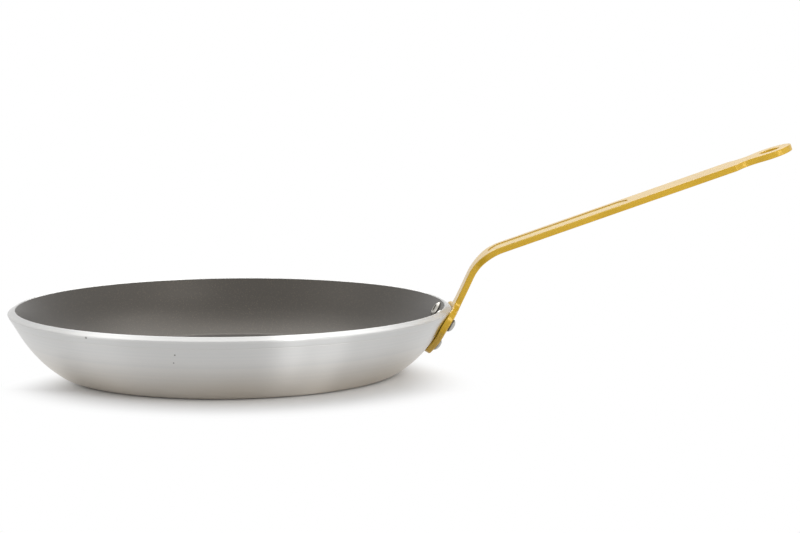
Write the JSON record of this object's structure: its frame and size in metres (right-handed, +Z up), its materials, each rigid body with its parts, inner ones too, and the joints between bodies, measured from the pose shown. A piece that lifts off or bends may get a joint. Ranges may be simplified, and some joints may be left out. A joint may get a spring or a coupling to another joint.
{
  "type": "omelette pan",
  "caption": "Round shallow frying pan with sloping walls, a thick flat base, a dark non-stick lining and a long riveted strip steel handle with a hanging hole.",
  "frame": {"origin": "centre of the flat base's underside, on the pan's own turning axis, at the height of the hob", "axes": "+Z up out of the pan's mouth, +X along the handle away from the pan, +Y to the left when looking out along the handle"},
  "size_m": [0.4942, 0.28, 0.1438],
  "materials": {
    "pan_aluminium": "satin turned",
    "nonstick_coating": "fine speckled satin",
    "handle_steel": "smooth satin gold coating",
    "rivet_aluminium": "satin"
  },
  "bodies": {
    "root": {"pan_body": "pan_aluminium", "nonstick_lining": "nonstick_coating", "handle": "handle_steel", "rivet_upper_left": "rivet_aluminium", "rivet_upper_right": "rivet_aluminium", "rivet_lower": "rivet_aluminium"}
  },
  "joints": []
}
